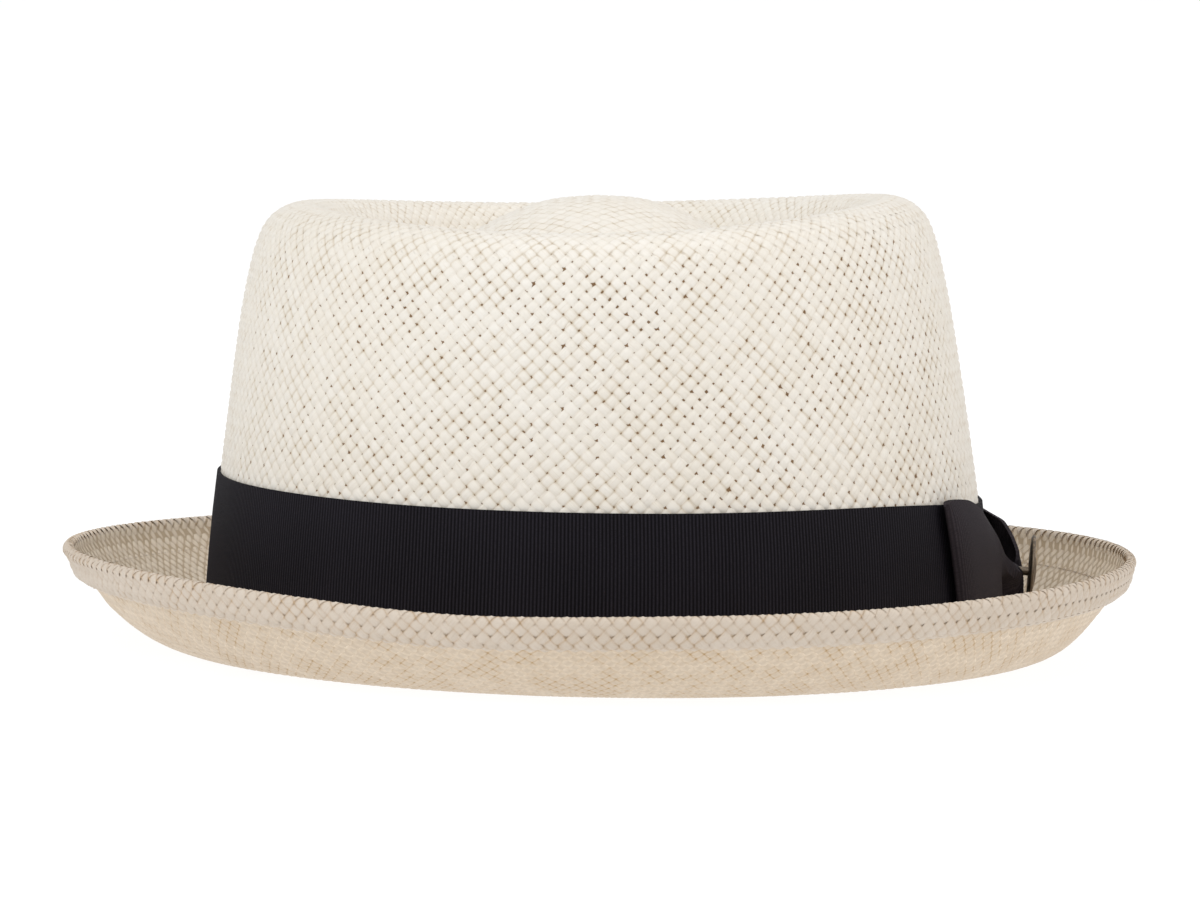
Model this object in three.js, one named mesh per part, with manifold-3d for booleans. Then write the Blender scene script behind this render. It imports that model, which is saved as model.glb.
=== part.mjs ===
// A porkpie hat: a woven straw crown and brim in one piece, a ribbed ribbon round the foot of
// the crown, a flat ribbon bow on the wearer's left side and a plain round pin on its knot.
//
// Lengths are millimetres. The hat stands on the flat ring under the start of its brim, at z = 0,
// with its front toward -Y and the bow toward +X.

import * as THREE from 'three';
import * as BufferGeometryUtils from 'three/addons/utils/BufferGeometryUtils.js';
import Module from 'manifold-3d';

// Crown and brim.
const crownHalfWidth = 90;
const headOval = 12.5;
const crownHeight = 103.6;
const brimOverhang = 33.6;
const brimRise = 21.4;
const brimSideCurl = 2.3;
const brimBowSag = 2.2;
const strawWall = 1.5;
const hemFold = 1.2;
const hemDepth = 7.5;
const footRing = 3.4;
const rimDip = 4.6;
const rimSlope = 2.6;
const crownLean = 2.0;

// Ribbon and bow.
const ribbonWidth = 36.9;
const ribbonThickness = 1.0;
const ribbonLift = 2.9;
const ribbonFall = 4.4;
const clearance = 0.35;
const bowThickness = 0.9;
const bowReach = 55.3;
// The loops' heights, as shares of the ribbon's width.
const frontLoopShare = 0.98;
const rearLoopShare = 0.91;
const bowLift = 5.0;
const foldSlant = 4.4;
const knotLength = 12;
const knotHeight = 18.4;
const knotDepth = 7.2;
const knotWall = 1.0;
const knotBelly = 0.05;
const knotLean = 0.2;
const knotSquareness = 0.38;

// Pin.
const pinRadius = 8.5;
const pinThickness = 1.2;
const pinHeight = 19.1;
const pinTilt = 0.8;
const pinTurn = 2.6;
const postRadius = 1.0;
const postLength = 4.2;

// How finely the oval and the strips are cut into flat faces.
const ovalSteps = 64;
const knotSteps = 24;

// The middle of the straw from the top of the dome to the foot of the wall. `out` is a share of
// the crown's half-width and `up` a share of its height.
const crownRows = [
  { out: 0.000, up: 1.000 },
  { out: 0.130, up: 0.988 },
  { out: 0.255, up: 0.947 },
  { out: 0.365, up: 0.888 },
  { out: 0.450, up: 0.833 },
  { out: 0.522, up: 0.815 },
  { out: 0.585, up: 0.841 },
  { out: 0.635, up: 0.905 },
  { out: 0.672, up: 0.960 },
  { out: 0.715, up: 0.991 },
  { out: 0.757, up: 0.998 },
  { out: 0.801, up: 0.988 },
  { out: 0.836, up: 0.965 },
  { out: 0.859, up: 0.929 },
  { out: 0.881, up: 0.864 },
  { out: 0.905, up: 0.760 },
  { out: 0.929, up: 0.625 },
  { out: 0.949, up: 0.500 },
  { out: 0.970, up: 0.360 },
  { out: 0.986, up: 0.210 },
  { out: 0.996, up: 0.070 },
  { out: 1.003, up: 0.018 },
];

// The middle of the straw from the flat ring to the lip. `out` is a share of the overhang and
// `up` a share of the brim's rise.
const brimRows = [
  { out: 0.140, up: 0.000 },
  { out: 0.270, up: 0.030 },
  { out: 0.400, up: 0.098 },
  { out: 0.530, up: 0.213 },
  { out: 0.650, up: 0.360 },
  { out: 0.760, up: 0.520 },
  { out: 0.845, up: 0.660 },
  { out: 0.905, up: 0.800 },
  { out: 0.935, up: 0.915 },
  { out: 0.940, up: 0.965 },
];

// One loop of the bow from the knot to its folded end. `reach` is a share of the bow's reach and
// the tops and the foot are shares of its height. The lifts are shares of its lift off the
// ribbon: of the outer layer on the front loop and on the rear loop, and of the inner layer.
const bowRows = [
  { reach: 0.035, frontTop: 0.39, rearTop: 0.40, foot: 0.07, frontLift: 1.00, rearLift: 1.00, inner: 0.46 },
  { reach: 0.110, frontTop: 0.39, rearTop: 0.41, foot: 0.07, frontLift: 1.00, rearLift: 1.00, inner: 0.46 },
  { reach: 0.145, frontTop: 0.48, rearTop: 0.56, foot: 0.06, frontLift: 0.94, rearLift: 1.56, inner: 0.34 },
  { reach: 0.220, frontTop: 0.55, rearTop: 0.66, foot: 0.04, frontLift: 0.80, rearLift: 1.56, inner: 0.24 },
  { reach: 0.340, frontTop: 0.66, rearTop: 0.79, foot: 0.03, frontLift: 0.68, rearLift: 1.40, inner: 0.19 },
  { reach: 0.410, frontTop: 0.74, rearTop: 0.85, foot: 0.01, frontLift: 0.63, rearLift: 1.22, inner: 0.16 },
  { reach: 0.510, frontTop: 0.85, rearTop: 0.92, foot: 0.00, frontLift: 0.60, rearLift: 1.00, inner: 0.16 },
  { reach: 0.605, frontTop: 0.92, rearTop: 0.96, foot: 0.00, frontLift: 0.60, rearLift: 0.86, inner: 0.16 },
  { reach: 0.750, frontTop: 0.98, rearTop: 1.00, foot: 0.00, frontLift: 0.62, rearLift: 0.80, inner: 0.16 },
  { reach: 0.880, frontTop: 1.00, rearTop: 1.00, foot: 0.00, frontLift: 0.66, rearLift: 0.80, inner: 0.16 },
  { reach: 0.955, frontTop: 1.00, rearTop: 1.00, foot: 0.00, frontLift: 0.62, rearLift: 0.72, inner: 0.17 },
  { reach: 0.988, frontTop: 0.99, rearTop: 0.99, foot: 0.00, frontLift: 0.52, rearLift: 0.58, inner: 0.24 },
  { reach: 1.000, frontTop: 0.97, rearTop: 0.97, foot: 0.00, frontLift: 0.36, rearLift: 0.36, inner: 0.36 },
];

function smooth(value) {
  const share = THREE.MathUtils.clamp(value, 0, 1);
  return share * share * (3 - 2 * share);
}

// A column of a table at any place along another column, by straight interpolation.
function readRow(rows, along, column, place) {
  let after = rows.findIndex((row) => row[along] >= place);
  if (after < 0) {
    after = rows.length - 1;
  }
  const before = Math.max(after - 1, 0);
  const span = rows[after][along] - rows[before][along];
  const share = span > 0 ? THREE.MathUtils.clamp((place - rows[before][along]) / span, 0, 1) : 1;
  return THREE.MathUtils.lerp(rows[before][column], rows[after][column], share);
}

// The middle line of the straw in the plane of half-width and height. The flat ring's own two
// points keep an upright normal, so that the hat stands flat.
function middleLine() {
  const points = crownRows.map((row) => new THREE.Vector2(
    row.out * (crownHalfWidth - strawWall / 2),
    strawWall / 2 + row.up * (crownHeight - strawWall),
  ));
  const ringStart = points[points.length - 1].x + footRing / 2;
  const ringEnd = ringStart + footRing;
  const flats = [points.length, points.length + 1];
  points.push(new THREE.Vector2(ringStart, strawWall / 2));
  points.push(...brimRows.map((row) => new THREE.Vector2(
    ringEnd + (row.out - brimRows[0].out) * brimOverhang,
    strawWall / 2 + row.up * (brimRise - strawWall),
  )));
  return { points, flats };
}

// Both faces of the straw, offset from the middle line. The hem adds its fold under the brim.
function strawFaces() {
  const { points, flats } = middleLine();
  const last = points.length - 1;
  const lengths = [0];
  for (let i = 1; i <= last; i += 1) {
    lengths.push(lengths[i - 1] + points[i].distanceTo(points[i - 1]));
  }
  const upper = [];
  const lower = [];
  for (let i = 0; i <= last; i += 1) {
    const before = points[Math.max(i - 1, 0)];
    const after = points[Math.min(i + 1, last)];
    const normal = new THREE.Vector2(before.y - after.y, after.x - before.x).normalize();
    if (i === 0 || flats.includes(i)) {
      normal.set(0, 1);
    }
    const fromLip = lengths[last] - lengths[i];
    const fold = hemFold * smooth((hemDepth - fromLip) * 2);
    upper.push(points[i].clone().addScaledVector(normal, strawWall / 2));
    lower.push(points[i].clone().addScaledVector(normal, -strawWall / 2 - fold));
  }
  upper[0].x = 0;
  lower[0].x = 0;
  return { upper, lower };
}

// A point of the hat: a half-width, a height and an angle round the oval from the +X side.
function ovalPoint(halfWidth, height, angle) {
  const domeFoot = crownHalfWidth * 0.45;
  const depth = halfWidth + headOval * smooth(halfWidth / domeFoot);
  const high = smooth((height - brimRise) / (crownHeight - brimRise));
  const dip = rimDip * smooth((halfWidth / crownHalfWidth - 0.3) / 0.35) * Math.sin(angle) ** 2;
  const slope = rimSlope * (halfWidth / crownHalfWidth) * Math.cos(angle);
  const overhang = (halfWidth - crownHalfWidth - footRing * 2) / (brimOverhang - footRing * 2);
  const curl = brimSideCurl * smooth(overhang) * Math.cos(angle) ** 2;
  const belly = Math.sin(Math.PI * THREE.MathUtils.clamp(overhang, 0, 1)) ** 2;
  const sag = brimBowSag * belly * Math.max(Math.cos(angle), 0) ** 2;
  return new THREE.Vector3(
    halfWidth * Math.cos(angle) - crownLean * high,
    depth * Math.sin(angle),
    height + (slope - dip) * high + curl - sag,
  );
}

// The half-width of the crown's outer face at a height on its wall.
const faces = strawFaces();

function wallHalfWidth(height) {
  const near = crownHalfWidth * 0.85;
  const far = crownHalfWidth * 1.03;
  const wall = faces.upper.filter((point) => point.x > near && point.x < far);
  const rows = wall.map((point) => ({ z: point.y, out: point.x })).reverse();
  return readRow(rows, 'z', 'out', height);
}

// A closed solid round a strip: `place(u, v)` gives its middle, and both ways run from 0 to 1.
function stripSolid(place, stepsU, stepsV, thickness, closedU) {
  const countU = closedU ? stepsU : stepsU + 1;
  const countV = stepsV + 1;
  const sample = 1e-3;
  const positions = [];
  for (const side of [1, -1]) {
    for (let i = 0; i < countU; i += 1) {
      for (let j = 0; j < countV; j += 1) {
        const u = i / stepsU;
        const v = j / stepsV;
        const u0 = closedU ? u - sample : Math.max(u - sample, 0);
        const u1 = closedU ? u + sample : Math.min(u + sample, 1);
        const v0 = Math.max(v - sample, 0);
        const v1 = Math.min(v + sample, 1);
        const alongU = place(u1, v).sub(place(u0, v));
        const alongV = place(u, v1).sub(place(u, v0));
        const normal = alongU.cross(alongV).normalize();
        const point = place(u, v).addScaledVector(normal, side * thickness / 2);
        positions.push(point.x, point.y, point.z);
      }
    }
  }
  const layer = countU * countV;
  const at = (side, i, j) => side * layer + (i % countU) * countV + j;
  const index = [];
  const quad = (a, b, c, d) => index.push(a, b, c, a, c, d);
  for (let i = 0; i < stepsU; i += 1) {
    for (let j = 0; j < stepsV; j += 1) {
      quad(at(0, i, j), at(0, i + 1, j), at(0, i + 1, j + 1), at(0, i, j + 1));
      quad(at(1, i, j), at(1, i, j + 1), at(1, i + 1, j + 1), at(1, i + 1, j));
    }
    quad(at(0, i, 0), at(1, i, 0), at(1, i + 1, 0), at(0, i + 1, 0));
    quad(at(0, i, stepsV), at(0, i + 1, stepsV), at(1, i + 1, stepsV), at(1, i, stepsV));
  }
  if (!closedU) {
    for (let j = 0; j < stepsV; j += 1) {
      quad(at(0, 0, j), at(0, 0, j + 1), at(1, 0, j + 1), at(1, 0, j));
      quad(at(0, stepsU, j), at(1, stepsU, j), at(1, stepsU, j + 1), at(0, stepsU, j + 1));
    }
  }
  const geometry = new THREE.BufferGeometry();
  geometry.setAttribute('position', new THREE.Float32BufferAttribute(positions, 3));
  geometry.setIndex(index);
  return geometry;
}

// Crown and brim in one: both faces of the straw turned round the axis, then drawn to the oval.
function wovenBody() {
  const cap = faces.upper[faces.upper.length - 1].clone().lerp(faces.lower[faces.lower.length - 1], 0.5);
  const outward = new THREE.Vector2(0.35, 0.94).multiplyScalar((strawWall + hemFold) * 0.4);
  const profile = [...faces.lower, cap.add(outward), ...faces.upper.slice().reverse()];
  const geometry = new THREE.LatheGeometry(profile, ovalSteps);
  const position = geometry.getAttribute('position');
  for (let i = 0; i < position.count; i += 1) {
    const angle = Math.atan2(-position.getZ(i), position.getX(i));
    const halfWidth = Math.hypot(position.getX(i), position.getZ(i));
    const point = ovalPoint(halfWidth, position.getY(i), angle);
    position.setXYZ(i, point.x, point.y, point.z);
  }
  return geometry;
}

// The ribbon lies against the wall, and its upper edge falls a little toward the bow.
const ribbonMiddle = clearance + ribbonThickness / 2;
const ribbonFace = clearance + ribbonThickness;

function ribbonTop(angle) {
  return ribbonLift + ribbonWidth - ribbonFall * ((1 + Math.cos(angle)) / 2) ** 14;
}

function ribbonBand() {
  const place = (u, v) => {
    const angle = -u * 2 * Math.PI;
    const height = THREE.MathUtils.lerp(ribbonLift, ribbonTop(angle), v);
    return ovalPoint(wallHalfWidth(height) + ribbonMiddle, height, angle);
  };
  return stripSolid(place, ovalSteps, 4, ribbonThickness, true);
}

// A point off the ribbon's outer face on the bow's side of the hat: a length along the oval from
// its side-most point, a height and a distance out from the ribbon.
function bowPoint(along, height, off) {
  const angle = along / (crownHalfWidth + headOval);
  return ovalPoint(wallHalfWidth(height) + ribbonFace + off, height, angle);
}

// A loop runs out from the knot through the table's rows, folds at its end and comes back
// through them against the band.
function bowLoop(direction, loopHeight, side) {
  const last = bowRows.length - 1;
  const place = (u, v) => {
    const run = u * 2 * last;
    const outward = run <= last;
    const row = outward ? run : 2 * last - run;
    const before = Math.min(Math.floor(row), last - 1);
    const read = (column) => THREE.MathUtils.lerp(
      bowRows[before][column],
      bowRows[before + 1][column],
      row - before,
    );
    const reach = read('reach');
    const height = ribbonLift + loopHeight * THREE.MathUtils.lerp(read('foot'), read(`${side}Top`), v);
    const along = (bowReach - foldSlant * (1 - v) * reach) * reach;
    const off = bowLift * read(outward ? `${side}Lift` : 'inner');
    return bowPoint(direction * along, height, off);
  };
  return stripSolid(place, 2 * last, 5, bowThickness, false);
}

// The knot's ribbon is a sleeve round the pinched middle, with a hole for the pin's post.
const knotMiddle = ribbonLift + knotHeight / 2 - knotWall / 2;

function knotSleeve() {
  const halfDeep = (knotDepth - knotWall - clearance) / 2;
  const halfHigh = (knotHeight - knotWall) / 2;
  const place = (u, v) => {
    const turn = -u * 2 * Math.PI;
    const across = Math.sign(Math.cos(turn)) * Math.abs(Math.cos(turn)) ** knotSquareness;
    const upward = Math.sign(Math.sin(turn)) * Math.abs(Math.sin(turn)) ** knotSquareness;
    const belly = knotBelly * (1 - (2 * v - 1) ** 2) + knotLean * upward;
    const off = clearance + knotWall / 2 + halfDeep * (1 + across + Math.max(across, 0) * belly);
    return bowPoint((v - 0.5) * knotLength, knotMiddle + halfHigh * upward, off);
  };
  return stripSolid(place, knotSteps, 4, knotWall, true);
}

const wasm = await Module();
wasm.setup();

function toSolid(geometry) {
  const bare = geometry.clone();
  bare.deleteAttribute('normal');
  bare.deleteAttribute('uv');
  const merged = BufferGeometryUtils.mergeVertices(bare, 1e-4);
  return new wasm.Manifold(new wasm.Mesh({
    numProp: 3,
    vertProperties: new Float32Array(merged.getAttribute('position').array),
    triVerts: new Uint32Array(merged.getIndex().array),
  }));
}

function toGeometry(solid) {
  const mesh = solid.getMesh();
  const geometry = new THREE.BufferGeometry();
  geometry.setAttribute('position', new THREE.BufferAttribute(new Float32Array(mesh.vertProperties), 3));
  geometry.setIndex(Array.from(mesh.triVerts));
  return geometry;
}

// The pin stands on the knot: its back clears the knot's face at its lower edge and its top
// leans outward.
const pinFoot = bowPoint(0, pinHeight - pinRadius, knotDepth * (1 + knotBelly / 2));
const pinBack = pinFoot.x + clearance
  + pinRadius * Math.sin(THREE.MathUtils.degToRad(pinTilt))
  + (knotLength / 2) * Math.sin(THREE.MathUtils.degToRad(pinTurn));

function pinPlaced(geometry) {
  geometry.rotateZ(-Math.PI / 2);
  geometry.rotateY(THREE.MathUtils.degToRad(pinTilt));
  geometry.rotateZ(-THREE.MathUtils.degToRad(pinTurn));
  geometry.translate(pinBack, 0, pinHeight);
  return geometry;
}

function pinDisc() {
  const edge = pinThickness / 5;
  const profile = [
    new THREE.Vector2(0, -postLength),
    new THREE.Vector2(postRadius, -postLength),
    new THREE.Vector2(postRadius, 0),
    new THREE.Vector2(pinRadius - edge, 0),
    new THREE.Vector2(pinRadius, edge),
    new THREE.Vector2(pinRadius, pinThickness - edge),
    new THREE.Vector2(pinRadius - edge, pinThickness),
    new THREE.Vector2(pinRadius * 0.84, pinThickness),
    new THREE.Vector2(pinRadius * 0.80, pinThickness - edge),
    new THREE.Vector2(0, pinThickness - edge),
  ];
  return pinPlaced(new THREE.LatheGeometry(profile, 28));
}

function bowKnot() {
  const bore = pinPlaced(new THREE.CylinderGeometry(
    postRadius + clearance, postRadius + clearance, postLength * 2, 16,
  ));
  return toGeometry(toSolid(knotSleeve()).subtract(toSolid(bore)));
}

const straw = new THREE.MeshStandardMaterial({ color: 0xe6dfd2, roughness: 0.62, metalness: 0 });
const ribbon = new THREE.MeshStandardMaterial({ color: 0x1d1c20, roughness: 0.8, metalness: 0 });
const bowRibbon = new THREE.MeshStandardMaterial({ color: 0x201f23, roughness: 0.8, metalness: 0 });
const pinMetal = new THREE.MeshStandardMaterial({ color: 0x4a4038, roughness: 0.4, metalness: 0.9 });

const hat = new THREE.Group();

function addPiece(name, geometry, material) {
  const mesh = new THREE.Mesh(geometry, material);
  mesh.name = name;
  hat.add(mesh);
}

addPiece('woven_body', wovenBody(), straw);
addPiece('ribbon_band', ribbonBand(), ribbon);
addPiece('bow_front_loop', bowLoop(-1, ribbonWidth * frontLoopShare, 'front'), bowRibbon);
addPiece('bow_rear_loop', bowLoop(1, ribbonWidth * rearLoopShare, 'rear'), bowRibbon);
addPiece('bow_knot', bowKnot(), bowRibbon);
addPiece('pin_disc', pinDisc(), pinMetal);

export default hat;
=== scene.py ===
# %% [markdown]
# # A straw porkpie hat
#
# The hat is woven from flat bleached straw, so nearly everything that the eye sees is strands
# passing over and under each other. This lesson builds those strands as real geometry, then
# dresses the crown with a ribbed ribbon, a flat bow and a small metal pin.
#
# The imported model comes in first. It fixes every size, and all that follows is made round it.

# %% Load the frame
import math

import bpy
import numpy as np
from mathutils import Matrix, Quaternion, Vector


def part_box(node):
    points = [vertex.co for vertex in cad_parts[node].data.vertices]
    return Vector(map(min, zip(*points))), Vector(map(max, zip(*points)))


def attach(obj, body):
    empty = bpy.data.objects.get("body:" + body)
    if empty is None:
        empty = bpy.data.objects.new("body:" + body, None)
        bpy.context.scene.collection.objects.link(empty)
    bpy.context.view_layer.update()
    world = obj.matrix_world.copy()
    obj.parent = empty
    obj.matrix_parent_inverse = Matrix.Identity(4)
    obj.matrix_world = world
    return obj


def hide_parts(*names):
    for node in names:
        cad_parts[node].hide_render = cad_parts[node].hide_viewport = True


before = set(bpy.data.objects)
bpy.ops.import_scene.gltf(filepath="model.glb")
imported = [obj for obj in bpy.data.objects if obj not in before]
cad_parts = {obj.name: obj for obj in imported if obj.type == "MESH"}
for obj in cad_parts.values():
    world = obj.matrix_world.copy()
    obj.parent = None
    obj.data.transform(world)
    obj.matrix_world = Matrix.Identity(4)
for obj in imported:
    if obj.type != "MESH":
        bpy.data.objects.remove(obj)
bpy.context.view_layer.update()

print("nodes:", sorted(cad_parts))

# %% [markdown]
# ## Writing shader maths as plain expressions
#
# A material in Blender is a graph of nodes. Wiring a dozen Math nodes by hand hides what is
# being computed, so a small class wraps a socket and overloads the arithmetic operators. Then
# `1 - mask * 0.4` adds the Math nodes by itself. Colours need another node, because a Math
# node would turn them grey, so mixing two colours has its own method.

# %% Sockets with operators
class Wire:
    """One socket of a node tree, with arithmetic that adds Math nodes."""

    def __init__(self, tree, socket):
        self.tree = tree
        self.socket = socket

    def math(self, operation, *others):
        values = dict(enumerate((self, *others)))
        return self.tree.add("ShaderNodeMath", {"operation": operation}, values)

    def __add__(self, other):
        return self.math("ADD", other)

    __radd__ = __add__

    def __sub__(self, other):
        return self.math("SUBTRACT", other)

    def __rsub__(self, other):
        return self.tree.add("ShaderNodeMath", {"operation": "SUBTRACT"}, {0: other, 1: self})

    def __mul__(self, other):
        return self.math("MULTIPLY", other)

    __rmul__ = __mul__

    def __pow__(self, other):
        return self.math("POWER", other)

    def clip(self):
        return self.math("MAXIMUM", 0.0).math("MINIMUM", 1.0)

    def ramp(self, low, high):
        """0 below low, 1 above high and a smooth step between."""
        return self.tree.add(
            "ShaderNodeMapRange", {"interpolation_type": "SMOOTHSTEP"},
            {"Value": self, "From Min": low, "From Max": high},
        )

    def between(self, colour_a, colour_b):
        """colour_a where this is 0 and colour_b where it is 1."""
        values = {"Factor": self, 6: colour_a, 7: colour_b}
        return self.tree.add("ShaderNodeMix", {"data_type": "RGBA"}, values, output=2)


class Finish:
    """A material and its Principled shader, filled in by name."""

    def __init__(self, name):
        self.material = bpy.data.materials.new(name)
        self.material.use_nodes = True
        self.nodes = self.material.node_tree.nodes
        self.links = self.material.node_tree.links
        self.shader = self.nodes["Principled BSDF"]

    def new(self, kind, **settings):
        node = self.nodes.new(kind)
        for key, value in settings.items():
            setattr(node, key, value)
        return node

    def feed(self, socket, value):
        if isinstance(value, Wire):
            self.links.new(value.socket, socket)
        elif socket.type == "RGBA" and len(value) == 3:
            socket.default_value = (*value, 1.0)
        else:
            socket.default_value = value

    def add(self, kind, settings=None, values=None, output=0):
        """Any other node: its settings first, then its sockets' values or links."""
        node = self.new(kind, **(settings or {}))
        for key, value in (values or {}).items():
            self.feed(node.inputs[key], value)
        return Wire(self, node.outputs[output])

    def notes(self, name):
        """The three numbers that every point of a mesh carries under a name."""
        parts = self.new("ShaderNodeSeparateXYZ")
        noted = self.add("ShaderNodeAttribute", {"attribute_name": name}, output=1)
        self.feed(parts.inputs[0], noted)
        return [Wire(self, output) for output in parts.outputs]

    def look(self, **values):
        """Sets the shader's own sockets and gives back the material."""
        for key, value in values.items():
            self.feed(self.shader.inputs[key.replace("_", " ")], value)
        return self.material


print("shader helpers ready")

# %% [markdown]
# ## The form of the hat
#
# A blocked straw hat is an oval turned round its axis, then bent a little. Its section is a
# short table from the top of the dome, down into the gutter, over the rim, down the wall and
# out along the brim to the lip. The rows are shares of the hat's own sizes, the same rows
# that shape the solid model. The sizes below that start with BRIM and end in a word such as
# raise, drop or twist are what hands did to this hat later, a millimetre here and there.

# %% Sizes in millimetres
CROWN_HALF_WIDTH = 90.0
HEAD_OVAL = 12.5
CROWN_HEIGHT = 103.6
BRIM_OVERHANG = 33.6
BRIM_RISE = 21.4
BRIM_SIDE_CURL = 2.3
BRIM_BOW_SAG = 2.2
BRIM_BOW_RAISE = 1.15
BRIM_FAR_DROP = 0.5
BRIM_TWIST = 2.2
BRIM_FRONT_DIP = 1.1
BRIM_FAR_HOLLOW = 1.7
HOLLOW_FOOT = 8.0
FRONT_DIP_AT = -0.27
FRONT_DIP_SPREAD = 0.24
OVAL_FROM = 0.45
STRAW_WALL = 1.5
HEM_DEPTH = 7.5
FOOT_RING = 3.4
RIM_DIP = 4.6
RIM_BACK_RAISE = 0.8
RIM_SLOPE = 2.6
CROWN_LEAN = 2.0
CLEARANCE = 0.35

CROWN_ROWS = np.array([
    (0.000, 1.000), (0.130, 0.988), (0.255, 0.947), (0.365, 0.888), (0.450, 0.833),
    (0.522, 0.815), (0.585, 0.841), (0.635, 0.905), (0.672, 0.960), (0.715, 0.991),
    (0.757, 0.998), (0.801, 0.988), (0.836, 0.965), (0.859, 0.929), (0.881, 0.864),
    (0.905, 0.760), (0.929, 0.625), (0.949, 0.500), (0.970, 0.360), (0.986, 0.210),
    (0.996, 0.070), (1.003, 0.018),
])
BRIM_ROWS = np.array([
    (0.140, 0.000), (0.270, 0.030), (0.400, 0.098), (0.530, 0.213), (0.650, 0.360),
    (0.760, 0.520), (0.845, 0.660), (0.905, 0.800), (0.935, 0.915), (0.940, 0.965),
])
print("crown rows:", len(CROWN_ROWS), "brim rows:", len(BRIM_ROWS))


# %% [markdown]
# The rows become one smooth curve through the middle of the straw, because straw doesn't
# kink. A spline that passes through its points is enough: a Bezier curve would need handles.
# At the lip the curve turns over and runs back under the brim, which is the hem.

# %% The middle line of the straw
def through(points, steps=12):
    """A smooth curve through the points."""
    ends = [2 * points[0] - points[1], *points, 2 * points[-1] - points[-2]]
    out = []
    for a, b, c, d in zip(ends, ends[1:], ends[2:], ends[3:]):
        for t in np.linspace(0, 1, steps, endpoint=False):
            out.append(0.5 * (2 * b + (c - a) * t + (2 * a - 5 * b + 4 * c - d) * t ** 2
                              + (3 * b - a - 3 * c + d) * t ** 3))
    out.append(points[-1])
    return np.array(out)


def smooth(value):
    share = np.clip(value, 0, 1)
    return share * share * (3 - 2 * share)


def unit(arrows):
    return arrows / np.linalg.norm(arrows, axis=-1, keepdims=True)


half_wall = STRAW_WALL / 2
LIP_TRIM = 6
crown_points = np.column_stack([
    CROWN_ROWS[:, 0] * (CROWN_HALF_WIDTH - half_wall),
    half_wall + CROWN_ROWS[:, 1] * (CROWN_HEIGHT - STRAW_WALL),
])
ring_start = crown_points[-1, 0] + FOOT_RING / 2
ring_end = ring_start + FOOT_RING
brim_points = np.column_stack([
    ring_end + (BRIM_ROWS[:, 0] - BRIM_ROWS[0, 0]) * BRIM_OVERHANG,
    half_wall + BRIM_ROWS[:, 1] * (BRIM_RISE - STRAW_WALL),
])
wall_line = through(np.vstack([crown_points, [ring_start, half_wall]]))
brim_line = through(brim_points)[:-LIP_TRIM]

FOLD_RADIUS = 0.95
HEM_EASE = 1.9
HEM_CLOSING = 0.88
along_lip = unit(brim_line[-1] - brim_line[-4])
into_crown = np.array([-along_lip[1], along_lip[0]])
turn = np.linspace(0.15, 0.95, 6)[:, None] * np.pi
fold_line = brim_line[-1] + FOLD_RADIUS * (
    into_crown * (np.cos(turn) - 1) + along_lip * np.sin(turn))
slopes = unit(np.gradient(brim_line, axis=0))
normals = np.column_stack([-slopes[:, 1], slopes[:, 0]])
from_lip = np.cumsum(np.r_[0, np.linalg.norm(np.diff(brim_line[::-1], axis=0), axis=1)])
hem_reach = HEM_DEPTH - FOLD_RADIUS
stand_off = 1 - HEM_CLOSING * smooth((from_lip - hem_reach) / HEM_EASE + 1)
stand_off = 2 * FOLD_RADIUS * stand_off
hem_rows = brim_line[::-1] - stand_off[:, None] * normals[::-1]
hem_line = hem_rows[from_lip < hem_reach][1:]
full_line = np.vstack([wall_line, brim_line, fold_line, hem_line])
print("points along the section:", len(full_line))


# %% [markdown]
# Measuring along that line gives every place on the straw two numbers: how far it lies from
# the centre of the dome, and its angle round the oval. A third number lifts a point off the
# middle of the straw. All the weaving below is done in those three numbers. The oval also
# bends the hat: the rim dips to the front and back, and the brim curls up at its sides.

# %% Places on the straw
def resample(line, step=0.25):
    lengths = np.r_[0, np.cumsum(np.linalg.norm(np.diff(line, axis=0), axis=1))]
    places = np.arange(0, lengths[-1], step)
    out = np.column_stack([np.interp(places, lengths, line[:, i]) for i in (0, 1)])
    kernel = np.array([1, 2, 3, 2, 1]) / 9
    padded = np.vstack([out[:1]] * 2 + [out] + [out[-1:]] * 2)
    inner = np.column_stack([np.convolve(padded[:, i], kernel, "valid") for i in (0, 1)])
    inner[0], inner[-1] = out[0], out[-1]
    return places, inner


LINE_S, LINE = resample(full_line)
LINE_SLOPE = unit(np.gradient(LINE, axis=0))


def half_depth(half_width):
    """Half of the oval's length from front to back: near the centre it is still a circle."""
    return half_width + HEAD_OVAL * smooth(half_width / (CROWN_HALF_WIDTH * OVAL_FROM))


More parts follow.
